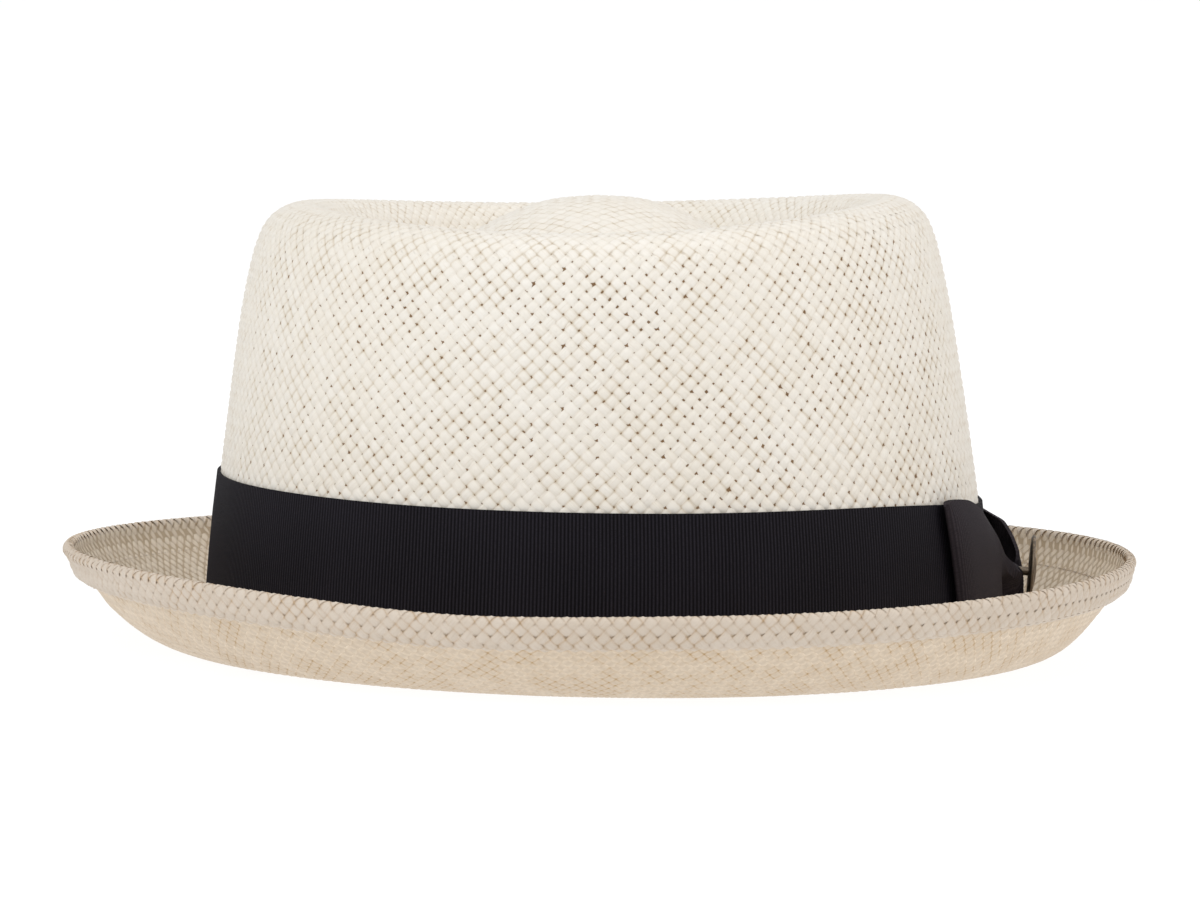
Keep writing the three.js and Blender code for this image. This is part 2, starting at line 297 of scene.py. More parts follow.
def oval(half_width, height, angle):
    """A point of the hat in metres from its half-width, height and angle round the oval."""
    high = smooth((height - BRIM_RISE) / (CROWN_HEIGHT - BRIM_RISE))
    dip = (RIM_DIP - RIM_BACK_RAISE * np.maximum(np.sin(angle), 0)) * np.sin(angle) ** 2
    dip = dip * smooth((half_width / CROWN_HALF_WIDTH - 0.3) / 0.35)
    slope = RIM_SLOPE * (half_width / CROWN_HALF_WIDTH) * np.cos(angle)
    overhang = (half_width - CROWN_HALF_WIDTH - FOOT_RING * 2) / (BRIM_OVERHANG - FOOT_RING * 2)
    curl = BRIM_SIDE_CURL * smooth(overhang) * np.cos(angle) ** 2
    belly = np.sin(np.pi * np.clip(overhang, 0, 1)) ** 2
    bow_side = np.maximum(np.cos(angle), 0) ** 2
    far_side = np.maximum(-np.cos(angle), 0) ** 2
    front_left = np.exp(-((np.cos(angle) - FRONT_DIP_AT) / FRONT_DIP_SPREAD) ** 2)
    front_left = front_left * np.maximum(-np.sin(angle), 0)
    sag = BRIM_BOW_SAG * belly * bow_side
    hand = (BRIM_BOW_RAISE * bow_side - BRIM_FRONT_DIP * front_left
            - far_side * (BRIM_FAR_DROP * far_side + BRIM_TWIST * np.sin(angle)))
    curl = curl + hand * smooth(overhang) ** 2
    under_lip = np.sin(np.pi * np.clip((height - HOLLOW_FOOT) / (BRIM_RISE - HOLLOW_FOOT), 0, 1))
    hollow = BRIM_FAR_HOLLOW * far_side ** 2 * smooth(overhang) * under_lip
    return np.stack([
        (half_width - hollow) * np.cos(angle) - CROWN_LEAN * high,
        half_depth(half_width) * np.sin(angle),
        height + (slope - dip) * high + curl - sag,
    ], axis=-1) * 0.001


def straw_place(s, angle, lift):
    """The point at length s along the section, lifted off the middle of the straw."""
    out = np.interp(s, LINE_S, LINE[:, 0])
    up = np.interp(s, LINE_S, LINE[:, 1])
    slope_out = np.interp(s, LINE_S, LINE_SLOPE[:, 0])
    slope_up = np.interp(s, LINE_S, LINE_SLOPE[:, 1])
    return oval(out - slope_up * lift, up + slope_out * lift, angle)


def s_where(test, start=0.0):
    """The first length along the section, past start, where test(out, up) holds."""
    hit = (LINE_S >= start) & test(LINE[:, 0], LINE[:, 1])
    return float(LINE_S[np.argmax(hit)])


S_GUTTER = float(LINE_S[np.argmin(np.where(LINE[:, 0] < 60, LINE[:, 1], 999))])
S_SHOULDER = s_where(lambda out, up: (out > 70) & (up < 98), S_GUTTER)
S_RIBBON = s_where(lambda out, up: (out > 70) & (up < 37), S_GUTTER)
S_FOOT = s_where(lambda out, up: (out > 90) & (up < 0.8), S_RIBBON)
S_END = float(LINE_S[-1])
print("gutter, shoulder, ribbon, foot and end at mm:",
      [round(v, 1) for v in (S_GUTTER, S_SHOULDER, S_RIBBON, S_FOOT, S_END)])

# %% [markdown]
# ## Weaving
#
# On the real hat two sets of strands climb the crown in opposite slants and cross at right
# angles. A bump texture would look flat at the edge of the hat and from inside, and a carved
# sheet has no holes. So each strand is its own closed strip, pushed up where it passes over
# and down where it passes under. To hold the slant at 45 degrees while the crown narrows, a
# strand turns faster where the oval is shorter. Half a million points are too many for
# Blender's mesh operators one by one, so whole arrays of numbers are handed to the mesh.

# %% A mesh from arrays
def put(name, data):
    """A new object in the scene that holds the data."""
    thing = bpy.data.objects.new(name, data)
    bpy.context.scene.collection.objects.link(thing)
    return thing


def mesh_object(name, points, quads, attributes, bake, material, sharp=60.0):
    """An object from arrays. `bake` holds the corner places of its unwrapped map."""
    mesh = bpy.data.meshes.new(name)
    mesh.vertices.add(len(points))
    mesh.vertices.foreach_set("co", points.astype(np.float32).ravel())
    mesh.loops.add(quads.size)
    mesh.loops.foreach_set("vertex_index", quads.astype(np.int32).ravel())
    mesh.polygons.add(len(quads))
    mesh.polygons.foreach_set("loop_start", np.arange(0, quads.size, 4, dtype=np.int32))
    mesh.update(calc_edges=True)
    mesh.polygons.foreach_set("use_smooth", np.ones(len(quads), dtype=bool))
    mesh.set_sharp_from_angle(angle=math.radians(sharp))
    for key, values in attributes.items():
        layer = mesh.attributes.new(key, "FLOAT_VECTOR", "POINT")
        layer.data.foreach_set("vector", values.astype(np.float32).ravel())
    if bake is not None:
        mesh.uv_layers.new(name="OFBake").data.foreach_set("uv", bake.astype(np.float32).ravel())
    thing = put(name, mesh)
    mesh.materials.append(material)
    mesh.validate()
    print(f"{name}: {len(mesh.polygons)} faces")
    return thing


print("meshes are made from whole arrays at once")

# %% [markdown]
# A pad of straw is thickest along its middle and thin at its edges, where it tucks in under
# its neighbours. Four points round show that: two edges, a top and a bottom. The edges are
# pulled toward the middle of the weave, so no gap opens under a strand seen from the side.
# The strips also get an unwrapped map of their own, in three columns of long rows, because an
# automatic one would break hundreds of narrow strips into crumbs.

# %% Closed strips of straw
MAP_COLUMNS = 3
MAP_MARGIN = 0.01
MAP_RUN = 0.97
SIDE_START = 0.04
SIDE_HIGH = 0.23


def strip_map(strands, samples, rows, rows_high):
    """Map corners of the walls and caps of strands whose rows start at `rows`."""
    row = rows + np.arange(strands)
    col = (row // rows_high)[:, None, None]
    line = (row % rows_high)[:, None, None]
    step = np.arange(samples - 1)[None, :, None]
    edge = np.arange(4)[None, None, :]
    u0 = (col + MAP_MARGIN + MAP_RUN * step / samples) / MAP_COLUMNS + 0 * edge
    u1 = (col + MAP_MARGIN + MAP_RUN * (step + 1) / samples) / MAP_COLUMNS + 0 * edge
    v0 = (line + SIDE_START + SIDE_HIGH * edge) / rows_high + 0 * step
    v1 = (line + SIDE_START + SIDE_HIGH * (edge + 1)) / rows_high + 0 * step
    walls = np.stack([np.stack(p, -1) for p in ((u0, v0), (u0, v1), (u1, v1), (u1, v0))], -2)
    cap_u = np.stack([col[:, 0, 0] + 0.982, col[:, 0, 0] + 0.989], 1)[:, :, None]
    cap_v = (line[:, 0, 0][:, None, None] + np.array([0.1, 0.1, 0.5, 0.5])) / rows_high
    cap_u = (cap_u + np.array([0.0, 0.005, 0.005, 0.0])) / MAP_COLUMNS
    caps = np.stack([cap_u, np.broadcast_to(cap_v, cap_u.shape)], -1)
    return [walls.reshape(-1, 2), caps.reshape(-1, 2)]


def strips(bundles, name, material):
    """Closed strips of straw. A bundle holds middles, sideways and upward half sizes and how
    far the edges are tucked in, in metres, each of shape (strands, samples, 3), and notes for
    the material."""
    points, quads, notes, maps, base, rows = [], [], [], [], 0, 0
    rows_high = math.ceil(sum(b["middle"].shape[0] for b in bundles) / MAP_COLUMNS)
    for bundle in bundles:
        middle, side, rise = bundle["middle"], bundle["side"], bundle["rise"]
        strands, samples = middle.shape[:2]
        tuck = bundle["tuck"]
        ring = np.stack([middle - side - tuck, middle + rise, middle + side - tuck,
                         middle - rise], axis=2)
        points.append(ring.reshape(-1, 3))
        across = np.broadcast_to(np.array([-1.0, 0.0, 1.0, 0.0]), (strands, samples, 4))
        along = np.repeat(bundle["along"][:, :, None], 4, 2)
        tone = np.repeat(bundle["tone"][:, :, None], 4, 2)
        notes.append(np.stack([along, across, tone], -1).reshape(-1, 3))
        index = base + np.arange(strands * samples * 4).reshape(strands, samples, 4)
        after = np.roll(index, -1, axis=2)
        walls = np.stack([index[:, :-1], after[:, :-1], after[:, 1:], index[:, 1:]], -1)
        quads.append(walls.reshape(-1, 4))
        caps = np.stack([index[:, 0, ::-1], index[:, -1]], 1)
        quads.append(caps.reshape(-1, 4))
        maps += strip_map(strands, samples, rows, rows_high)
        base += strands * samples * 4
        rows += strands
    thing = mesh_object(name, np.vstack(points), np.vstack(quads), {"strand": np.vstack(notes)},
                        np.vstack(maps), material)
    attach(thing, "root")
    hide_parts("woven_body")
    return thing


print("strips lie in", MAP_COLUMNS, "columns of the map")

# %% [markdown]
# One bundle is a whole set of strands that slant the same way. Each place on a strand is
# counted in crossings: a cosine of that count lifts the strand over one neighbour and sinks
# it under the next. Handwork is never even, so slow random waves move every strand sideways,
# swell and thin it and lift it a little. The seeds are fixed, and every run weaves the same hat.

# %% Lanes round the oval
STRAND_LIFT = 0.29
STRAND_THICKNESS = 0.22
CROWN_STAND = 0.22
EDGE_TUCK = 0.70
PAD_FLATNESS = 0.7
SIDE_DRIFT = 0.065
OWN_WIDTH = 0.05
WIDTH_WANDER = 0.035
WIDEST = 0.545
OVERLAP = 1.02
LIFT_WANDER = 0.12
A_HAIR = 0.05


def perimeter(s):
    out = np.interp(s, LINE_S, LINE[:, 0])
    return 2 * np.pi * np.sqrt((out ** 2 + half_depth(out) ** 2) / 2)


TURN = np.r_[0, np.cumsum(2 * np.pi / np.maximum(perimeter(LINE_S[1:]), 20) * np.diff(LINE_S))]


def lane_share(s, angle):
    """How wide a slanted lane is at an angle round the oval, against the mean at that s."""
    out = np.interp(s, LINE_S, LINE[:, 0])
    here = np.hypot(out * np.sin(angle), half_depth(out) * np.cos(angle))
    here = here * 2 * np.pi / perimeter(s)
    return math.sqrt(2) * here / np.sqrt(1 + here ** 2)


def strand_phase(way, tone):
    """An even number that differs from strand to strand, or an odd one for the other slant.
    cos(pi * along) is then 1 where a strand lies over and -1 where it lies under."""
    return 2 * np.round(tone * 997) + (0 if way > 0 else 1)


def wander(count, places, size, seed):
    """Slow random drift along each of a number of strands."""
    rng = np.random.default_rng(seed)
    total = 0
    for period in (3.0, 7.3, 17.0):
        phase = rng.uniform(0, 2 * np.pi, (count, 1))
        total = total + np.sin(places[None, :] * 2 * np.pi / period + phase)
    return size * total / 1.8


def strand_sides(middle, above):
    """Unit arrows sideways and up, square to the strand that runs through the points."""
    slope = np.gradient(middle, axis=-2)
    side = unit(np.cross(slope, unit(above - middle)))
    return side, unit(np.cross(side, slope))


print("turns from the dome's centre to the hem:", round(float(TURN[-1] / 2 / np.pi), 2))


# %% One bundle of slanted strands
def helix(way, count, crossing, fill, seed, shift=0.0, relief=None, loose=1.0):
    """Strands that slant one way (+1 or -1), sampled at the given crossings. fill(s, angle)
    is the share of its lane that a strand covers, and how much slimmer it is where it dives.
    relief(s) gives its lift, half its thickness, and how far off the straw's middle it lies."""
    s = np.interp((crossing + shift) * np.pi / count, TURN, LINE_S)
    lift, thickness, base = relief(s) if relief else (STRAND_LIFT, STRAND_THICKNESS, CROWN_STAND)
    rng = np.random.default_rng(seed)
    start = 2 * np.pi * np.arange(count) / count
    lane = perimeter(s) / count / math.sqrt(2)
    drift = wander(count, crossing, SIDE_DRIFT, seed) * loose
    angle = start[:, None] + way * (crossing * np.pi / count)[None, :]
    angle = angle + drift * (lane / perimeter(s))[None, :] * 2 * np.pi
    over = way * np.cos(np.pi * crossing)[None, :]
    flat_topped = np.sign(over) * np.abs(over) ** PAD_FLATNESS
    lifted = base + lift * flat_topped * (1 + LIFT_WANDER * wander(count, crossing, 1.0, seed + 1))
    s_all = np.broadcast_to(s[None, :], angle.shape)
    middle = straw_place(s_all, angle, lifted)
    side, rise = strand_sides(middle, straw_place(s_all, angle, lifted + A_HAIR))
    own = rng.normal(0, OWN_WIDTH, (count, 1)) * loose
    cover, pinch = fill(s, angle)
    cover = cover * (1 + own + wander(count, crossing, WIDTH_WANDER, seed + 2) * loose)
    width = lane[None, :] / 2 * cover * (1 - pinch * (1 - np.abs(over)))
    width = np.minimum(width, lane[None, :] * WIDEST) * lane_share(s_all, angle) * OVERLAP
    thick = thickness * (1 + 0.1 * over)
    tone = np.broadcast_to(rng.uniform(0, 1, (count, 1)), angle.shape)
    return {
        "middle": middle,
        "side": side * width[:, :, None] * 0.001,
        "rise": rise * thick[:, :, None] * 0.001,
        "tuck": rise * (EDGE_TUCK * lift * flat_topped)[:, :, None] * 0.001,
        "along": crossing[None, :] + strand_phase(way, tone),
        "tone": tone,
    }


print("one bundle can now be woven from any stretch of the section")

# %% [markdown]
# ## The straw itself
#
# Bleached straw is split palm leaf: a flat, faintly glossy blade with fine lines running along
# it. Colour drifts a little from strand to strand. Painted shade makes it warmer and darker
# toward a strand's edges and down in the crossings where the blade dives under its neighbour.
# Every strand carries three numbers for this: how far along it a place is, how far across, and
# a number of its own. The brim's and the hem's straw are darker, warmer copies of the crown's,
# painted shade for the brim's underside and the hem, and a brim strand is painted paler where
# it comes up on the upper side, as painted light.

# %% Straw material
def straw_finish(name, pale, warm, deep, gloss, crevice, painted_top_light=None):
    finish = Finish(name)
    along, across, tone = finish.notes("strand")
    lines_at = finish.add("ShaderNodeCombineXYZ", values={
        "X": along * 0.35, "Y": across * 4.2, "Z": tone * 60.0})
    lines = finish.add("ShaderNodeTexNoise", values={
        "Vector": lines_at, "Scale": 1.0, "Detail": 3.0, "Roughness": 0.6})
    place = finish.add("ShaderNodeTexCoord", output=3)
    patches = finish.add("ShaderNodeTexNoise", values={
        "Vector": place, "Scale": 26.0, "Detail": 3.0})
    flecks = finish.add("ShaderNodeTexNoise", values={
        "Vector": place, "Scale": 170.0, "Detail": 2.0})
    drift = (tone * 0.35 + patches * 0.9 + lines * 0.5 - 0.4).clip()
    blade = drift.between(pale, warm)
    over = (along * math.pi).math("COSINE")
    # Painted light: on the brim, a strand is painted toward a paler colour where it comes up on the
    # upper side.
    if painted_top_light:
        blade = (over * 0.425 + 0.425).clip().between(blade, painted_top_light)
    # Painted shade: toward a strand's edges and where it dives under its neighbour, the colour is
    # mixed toward the deep colour, more strongly in noise patches. The darker fibre lines are the
    # straw's own.
    dive = (1 - over.math("ABSOLUTE")).clip() ** 3.0
    edge = (across * across) ** 2.5
    wear_and_shade_patches = flecks.ramp(0.42, 0.62)
    shade = ((edge * 0.6 + dive * 0.45) * (wear_and_shade_patches * crevice + 0.35)
             + lines.ramp(0.55, 0.75) * 0.22).clip()
    colour = shade.between(blade, deep)
    bump = finish.add("ShaderNodeBump", values={
        "Height": lines, "Strength": 0.6, "Distance": 0.0002})
    return finish.look(Base_Color=colour, Roughness=gloss + lines * 0.22, Normal=bump)


crown_straw = straw_finish("bleached straw", (0.83, 0.80, 0.745), (0.77, 0.72, 0.635),
                           (0.50, 0.40, 0.27), 0.40, 0.8)
# Painted shade: the brim's and the hem's straw are darker, warmer copies of the crown's. The brim's
# last colour is painted light for strands on its upper side.
brim_straw = straw_finish("brim straw", (0.645, 0.545, 0.43), (0.575, 0.465, 0.345),
                          (0.42, 0.27, 0.12), 0.50, 1.2, painted_top_light=(0.92, 0.80, 0.65))
hem_straw = straw_finish("hem straw", (0.648, 0.570, 0.487), (0.562, 0.476, 0.384),
                         (0.42, 0.28, 0.15), 0.45, 0.8)
print("straw finishes:", crown_straw.name, brim_straw.name, hem_straw.name)

# %% [markdown]
# ## The crown's wall and rim
#
# The wall has 150 strands each way, which puts the crossings 2.8 mm apart as on the real hat.
# They keep on over the rim and down into the gutter without a break. The weave is tight on
# one side and a little open toward the front and the bow, where small holes show. They end
# out of sight under the ribbon, where the brim's strands have already begun.

# %% Weave the wall and the rim
WALL_STRANDS = 150
OPEN_TOWARD = -1.3
WALL_COVER = 0.97
OPENING = 0.085
RIM_TIGHTER = 0.10


def wall_fill(s, angle):
    toward_open = smooth(0.5 + 0.5 * np.cos(angle - OPEN_TOWARD)) ** 2
    patch = 0.5 + 0.5 * np.sin(angle * 5 + s[None, :] * 0.09) * np.sin(angle * 3 - s[None, :] * 0.13)
    high = np.interp(s, [S_SHOULDER - 12, S_SHOULDER + 6, S_RIBBON], [0.3, 1.0, 0.9])[None, :]
    loose = toward_open * high * (0.55 + 0.6 * patch)
    tight = RIM_TIGHTER * smooth((S_SHOULDER - s) / 8)
    return WALL_COVER + tight[None, :] - OPENING * loose, 0.015 + 0.10 * loose


def crossings_at(count, places, samples, shift=0.0):
    """Sample places in crossings: each stretch of the section has its own number of samples
    to a crossing. They lie evenly about the middle of each pad, so the pads get flat tops."""
    turns = np.interp(places, LINE_S, TURN) * count / np.pi - shift
    runs = []
    for start, stop, each in zip(turns, turns[1:], samples):
        place = (np.arange(math.floor(start) * each, math.ceil(stop) * each) + 0.5) / each
        runs.append(place[(place >= start) & (place < stop)])
    return np.concatenate(runs)


UNDER_RIBBON = 5.0
wall_at = crossings_at(WALL_STRANDS, [S_SHOULDER, S_RIBBON, S_FOOT - UNDER_RIBBON], [3, 2])
rim_at = np.r_[crossings_at(WALL_STRANDS, [S_GUTTER - 1.5, S_SHOULDER], [2]), wall_at[0]]
for way, side_name in ((1, "right"), (-1, "left")):
    strips([helix(way, WALL_STRANDS, wall_at, wall_fill, 20 + way)],
           f"straw_wall_{side_name}", crown_straw)
strips([helix(way, WALL_STRANDS, rim_at, wall_fill, 20 + way) for way in (1, -1)],
       "straw_rim", crown_straw)


# %% [markdown]
# ## The dome
#
# A hat is begun at the middle of its top, where the strands lie in a plain square grid. So
# the dome is woven flat, as straight lines in both slants seen from above, and then each
# point is dropped onto the dome. The grid ends in the gutter, under the rim's own strands.
# To drop a point one needs its place along the section, which halving finds in a few steps.

# %% Weave the dome
DOME_LANE = 2.75
DOME_STAND = 0.7
DOME_COVER = 1.045
DOME_LANES = 24


def section_of(x, y):
    """Length along the section and angle of points given in millimetres from above."""
    low = np.zeros_like(x)
    high = np.full_like(x, 70.0)
    for _ in range(34):
        middle = (low + high) / 2
        deep = np.maximum(half_depth(middle), 1e-6)
        outside = (x / np.maximum(middle, 1e-6)) ** 2 + (y / deep) ** 2 > 1
        low = np.where(outside, middle, low)
        high = np.where(outside, high, middle)
    top = LINE_S <= S_GUTTER + 6
    s = np.interp(low, LINE[top, 0], LINE_S[top])
    return s, np.arctan2(y / np.maximum(half_depth(low), 1e-6), x / np.maximum(low, 1e-6))


def dome_strands(way, seed):
    bundles = []
    rng = np.random.default_rng(seed)
    for lane in range(-DOME_LANES, DOME_LANES + 1):
        along = (np.arange(-2 * DOME_LANES, 2 * DOME_LANES) + 0.5) * DOME_LANE / 2
        off = lane * DOME_LANE + wander(1, along / DOME_LANE, 0.04, seed + lane)[0]
        x = (along - way * off) / math.sqrt(2)
        y = (way * along + off) / math.sqrt(2)
        s, angle = section_of(x, y)
        keep = s < S_GUTTER + 1.0
        if keep.sum() < 8:
            continue
        s, angle, along = s[keep], angle[keep], along[keep]
        over = way * np.cos(np.pi * (along / DOME_LANE + lane))
        stand = CROWN_STAND + DOME_STAND * smooth((S_GUTTER - s) / 16)
        middle = straw_place(s, angle, stand + STRAND_LIFT * over)
        above = straw_place(s, angle, stand + STRAND_LIFT * over + A_HAIR)
        side, rise = strand_sides(middle, above)
        steep = np.sqrt(0.5 + 0.5 / np.maximum(rise[:, 2], 0.5) ** 2)
        width = DOME_LANE / 2 * (DOME_COVER + rng.normal(0, 0.02)) * (1 + 0.03 * over) * steep
        tone = np.full((1, len(s)), rng.uniform())
        bundles.append({
            "middle": middle[None], "side": (side * width[:, None] * 0.001)[None],
            "rise": (rise * STRAND_THICKNESS * 0.001)[None],
            "tuck": (rise * (EDGE_TUCK * STRAND_LIFT * over)[:, None] * 0.001)[None],
            "along": (along / DOME_LANE + lane)[None] + strand_phase(way, tone), "tone": tone})
    return bundles


strips(dome_strands(1, 300) + dome_strands(-1, 400), "straw_dome", crown_straw)

# %% [markdown]
# ## The brim, the lip and the hem
#
# Strands are added where the brim leaves the crown, because it grows wider. At the lip they
# turn over, which makes the lip's row of small knuckles, and run back under the brim for
# 7 mm as a hem. One weave does all three: its section already turns over at the lip.

# %% Weave the brim
BRIM_STRANDS = 240
s_lip = float(LINE_S[np.argmax(LINE[:, 0])])
lip_shift = np.interp(s_lip, LINE_S, TURN) * BRIM_STRANDS / np.pi % 1


def brim_fill(s, angle):
    return np.full(angle.shape, 1.02), 0.0


def brim_relief(s):
    """Pressed flat on the brim, plumper on the lip and the hem."""
    plump = smooth((s - s_lip + 3.0) / 2.5)
    folded = smooth(1 - np.abs(s - s_lip - 0.4) / 2.4)
    under = 0.40 * smooth((s_lip - 1.5 - s) / 4.0) * smooth((s - S_FOOT + 1.0) / 3.0)
    ending = smooth((s - S_END + 1.8) / 1.8)
    hem_base = 0.52 * smooth((s - s_lip - 2.0) / 2.5) - 0.28 * ending
    lift = (0.13 + 0.15 * plump - 0.11 * folded) * (1 - 0.65 * ending)
    return lift, (0.14 + 0.15 * plump) * (1 - 0.6 * ending), hem_base - under


LIP_HALF = 2.6
brim_start = S_FOOT - UNDER_RIBBON - 2.0
inner_at = crossings_at(BRIM_STRANDS, [brim_start, s_lip - LIP_HALF], [2], lip_shift)
hem_at = crossings_at(BRIM_STRANDS, [s_lip - LIP_HALF, s_lip + LIP_HALF, S_END], [5, 3],
                      lip_shift)
inner_at = np.r_[inner_at, hem_at[0]]
for way, side_name in ((1, "right"), (-1, "left")):
    strips([helix(way, BRIM_STRANDS, inner_at, brim_fill, 40 + way, lip_shift, brim_relief, 0.45)],
           f"straw_brim_{side_name}", brim_straw)
strips([helix(way, BRIM_STRANDS, hem_at, brim_fill, 40 + way, lip_shift, brim_relief, 0.45)
        for way in (1, -1)], "straw_hem", hem_straw)
print("lip at mm:", round(s_lip, 1))

# %% [markdown]
# Between the strands one sees into the weave, where the undersides of other strands lie in
# warm shadow. A thin brown sheet in the middle of the straw is painted shade for that depth. It
# also closes the pinholes that straight strips leave where four of them meet. On the rim and the
# dome the weave is closed, so there the sheet pales to the colour of straw in shade.

# %% The shadow inside the weave
def shade_sheet_stand(s):
    dome = DOME_STAND * smooth((S_GUTTER - s) / 16)
    crown = (CROWN_STAND + dome) * smooth((S_FOOT - 3.0 - s) / 3.0)
    return crown + np.where(s > S_FOOT - 1.0, brim_relief(s)[2], 0.0)


def shade_sheet(name, rows, sides, material, thickness=0.06):
    angle = np.linspace(0, 2 * np.pi, sides, endpoint=False)
    grid_s, grid_a = np.meshgrid(rows, angle, indexing="ij")
    stand = shade_sheet_stand(grid_s)
    skins = np.stack([straw_place(grid_s, grid_a, stand + thickness / 2),
                      straw_place(grid_s, grid_a, stand - thickness / 2)])
    index = np.arange(skins.size // 3).reshape(2, len(rows), sides)
    nxt = np.roll(index, -1, axis=2)
    quads = np.concatenate([
        np.stack([index[0, :-1], index[0, 1:], nxt[0, 1:], nxt[0, :-1]], -1).reshape(-1, 4),
        np.stack([index[1, :-1], nxt[1, :-1], nxt[1, 1:], index[1, 1:]], -1).reshape(-1, 4),
        np.stack([index[0, 0], nxt[0, 0], nxt[1, 0], index[1, 0]], -1),
        np.stack([index[0, -1], index[1, -1], nxt[1, -1], nxt[0, -1]], -1)])
    closed = smooth((S_SHOULDER + 3 - grid_s) / 13)
    notes = np.repeat(np.tile(closed.reshape(-1, 1), (2, 1)), 3, axis=1)
    thing = mesh_object(name, skins.reshape(-1, 3), quads, {"closed": notes}, None, material)
    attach(thing, "root")
    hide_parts("woven_body")
    return thing


# Painted shade: the sheet's colours stand for the shadow deep in the weave and, where the weave is
# closed, for straw in shade.
CLOSED_STRAW_SHADE = (0.52, 0.43, 0.32)


def shade_sheet_finish(name, dark, light):
    finish = Finish(name)
    place = finish.add("ShaderNodeTexCoord", output=3)
    drift = finish.add("ShaderNodeTexNoise", values={"Vector": place, "Scale": 60.0, "Detail": 3.0})
    closed = finish.add("ShaderNodeAttribute", {"attribute_name": "closed"}, output=2)
    depth = drift.between(dark, light)
    return finish.look(Base_Color=closed.between(depth, CLOSED_STRAW_SHADE), Roughness=0.8)


crown_rows = np.arange(0.5, S_FOOT - 3.0, 2.0)
brim_rows = np.r_[np.arange(crown_rows[-1], s_lip - 3.0, 2.0),
                  np.arange(s_lip - 3.0, s_lip + 3.0, 0.5),
                  np.arange(s_lip + 3.0, S_END - 0.3, 1.0)]
shade_sheet("straw_shade_sheet_crown", crown_rows, 72,
           shade_sheet_finish("shaded straw", (0.13, 0.066, 0.026), (0.23, 0.135, 0.062)))
shade_sheet("straw_shade_sheet_brim", brim_rows, 80,
           shade_sheet_finish("shaded brim straw", (0.50, 0.38, 0.25), (0.62, 0.50, 0.36)))

# %% [markdown]
# ## The ribbon
#
# The band is ribbed ribbon: stiff upright cords 0.87 mm apart, bound by fine thread. At this
# distance the ribs are what makes it look like cloth, so they are real ridges. A strip is
# described by a function of two shares, along and across it. One helper gives any such strip
# its thickness and its ribs, and so makes the band, the bow's loops and the knot.

# %% A ribbed strip
RIB_PITCH = 0.87
RIB_HEIGHT = 0.11
BOW_RIB_HEIGHT = 0.035
RIB_SHAPE = np.array([0.0, 0.8, 1.0, 0.8])


def ribbed(name, node, place, ribs, across_steps, thickness, closed, material,
           rib_height=RIB_HEIGHT):
    """A closed strip with ribs. place(u, v) takes arrays and gives metres; u runs along."""
    long_steps = ribs * 4
    u = np.arange(long_steps + (0 if closed else 1)) / long_steps
    v = np.linspace(0, 1, across_steps + 1)
    grid_u, grid_v = np.meshgrid(u, v, indexing="ij")
    nudge = 1e-4
    ahead, behind = grid_u + nudge, grid_u - nudge
    if not closed:
        ahead, behind = np.minimum(ahead, 1), np.maximum(behind, 0)
    along = place(ahead, grid_v) - place(behind, grid_v)
    across = (place(grid_u, np.minimum(grid_v + nudge, 1))
              - place(grid_u, np.maximum(grid_v - nudge, 0)))
    normal = unit(np.cross(along, across))
    ridge = RIB_SHAPE[np.arange(len(u)) % 4][:, None] * rib_height
    ridge = ridge * np.where(np.abs(grid_v - 0.5) > 0.488, 0.5, 1.0)
    middle = place(grid_u, grid_v)
    half = thickness / 2
    front = middle + normal * (half + ridge)[:, :, None] * 0.001
    back = middle - normal * (half + ridge)[:, :, None] * 0.001
    points = np.stack([front, back], 0)
    count_u, count_v = grid_u.shape
    index = np.arange(points.size // 3).reshape(2, count_u, count_v)
    nxt = np.roll(index, -1, axis=1) if closed else index[:, 1:]
    now = index if closed else index[:, :-1]
    sheets = [
        np.stack([now[0, :, :-1], nxt[0, :, :-1], nxt[0, :, 1:], now[0, :, 1:]], -1),
        np.stack([now[1, :, :-1], now[1, :, 1:], nxt[1, :, 1:], nxt[1, :, :-1]], -1),
    ]
    edges = [
        np.stack([now[0, :, 0], now[1, :, 0], nxt[1, :, 0], nxt[0, :, 0]], -1)[:, None],
        np.stack([now[0, :, -1], nxt[0, :, -1], nxt[1, :, -1], now[1, :, -1]], -1)[:, None],
    ]
    ends = [] if closed else [
        np.stack([index[0, 0, :-1], index[0, 0, 1:], index[1, 0, 1:], index[1, 0, :-1]], -1)[None],
        np.stack([index[0, -1, :-1], index[1, -1, :-1], index[1, -1, 1:], index[0, -1, 1:]],
                 -1)[None],
    ]
    notes = np.stack([grid_u * ribs, grid_v, 0 * grid_u], -1)
    notes = np.stack([notes, notes], 0).reshape(-1, 3)
    thing = mesh_object(
        name, points.reshape(-1, 3),
        np.vstack([q.reshape(-1, 4) for q in sheets + edges + ends]),
        {"weave": notes}, None, material, sharp=50.0)
    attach(thing, "root")
    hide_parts(node)
    return thing


print("rib pitch and height in mm:", RIB_PITCH, RIB_HEIGHT)

# %% [markdown]
# The cloth is nearly black, with a breath of purple, and almost without gloss. What light it
# returns comes from the crowns of the ribs, so the colour follows the same count of ribs as
# the ridges do. Fine noise, stretched along the rib, stands for the thread that binds it. The
# bow's loops catch more light, and that is painted into their cloth: it shows less rib and
# more of the paler tone.

